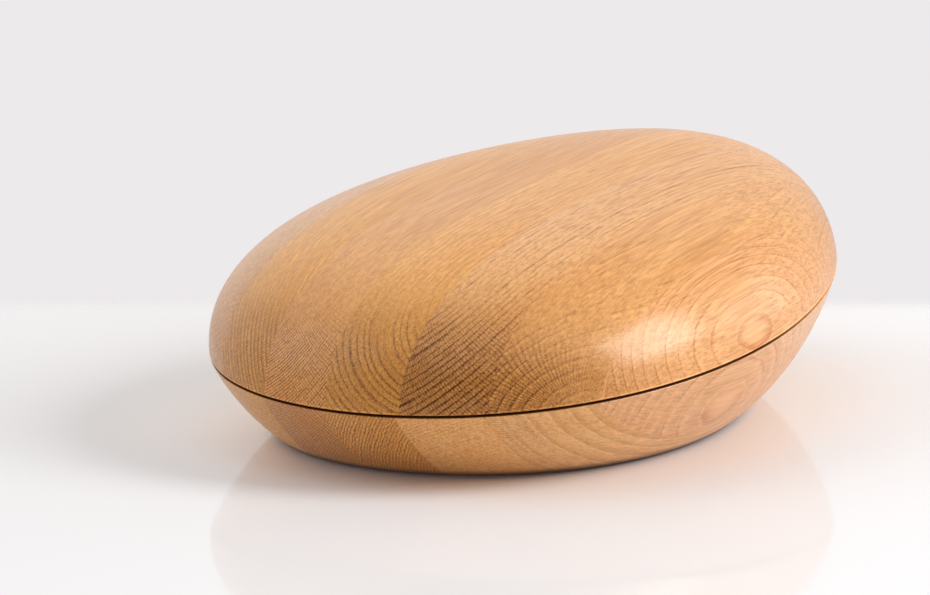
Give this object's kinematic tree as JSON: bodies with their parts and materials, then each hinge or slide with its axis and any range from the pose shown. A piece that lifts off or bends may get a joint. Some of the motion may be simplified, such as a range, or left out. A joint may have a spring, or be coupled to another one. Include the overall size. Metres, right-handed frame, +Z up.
{
  "type": "lidded wooden bowl",
  "caption": "Pebble-shaped serving bowl and lift-off lid of edge-glued oak staves, parting along a slanting seam.",
  "frame": {"origin": "on the floor under the middle of the seam, on the flat base", "axes": "+Z up; +X along the staves, towards the end where the seam is higher; +Y across the staves"},
  "size_m": [0.3486, 0.2397, 0.1079],
  "materials": {
    "oak_pale": "oiled, satin",
    "oak_amber": "oiled, satin",
    "oak_brown": "oiled, satin"
  },
  "bodies": {
    "bowl": {"bowl_stave_1": "oak_pale", "bowl_stave_2": "oak_brown", "bowl_stave_3": "oak_amber", "bowl_stave_4": "oak_amber", "bowl_stave_5": "oak_brown", "bowl_stave_6": "oak_pale", "bowl_stave_7": "oak_amber"},
    "lid": {"lid_stave_1": "oak_pale", "lid_stave_2": "oak_brown", "lid_stave_3": "oak_brown", "lid_stave_4": "oak_amber", "lid_stave_5": "oak_brown", "lid_stave_6": "oak_amber", "lid_stave_7": "oak_pale"}
  },
  "joints": [
    {"name": "lid_lift", "type": "slide", "parent": "bowl", "child": "lid", "axis": [-0.0889, 0, 0.996], "range_m": [0, 0.16]}
  ]
}
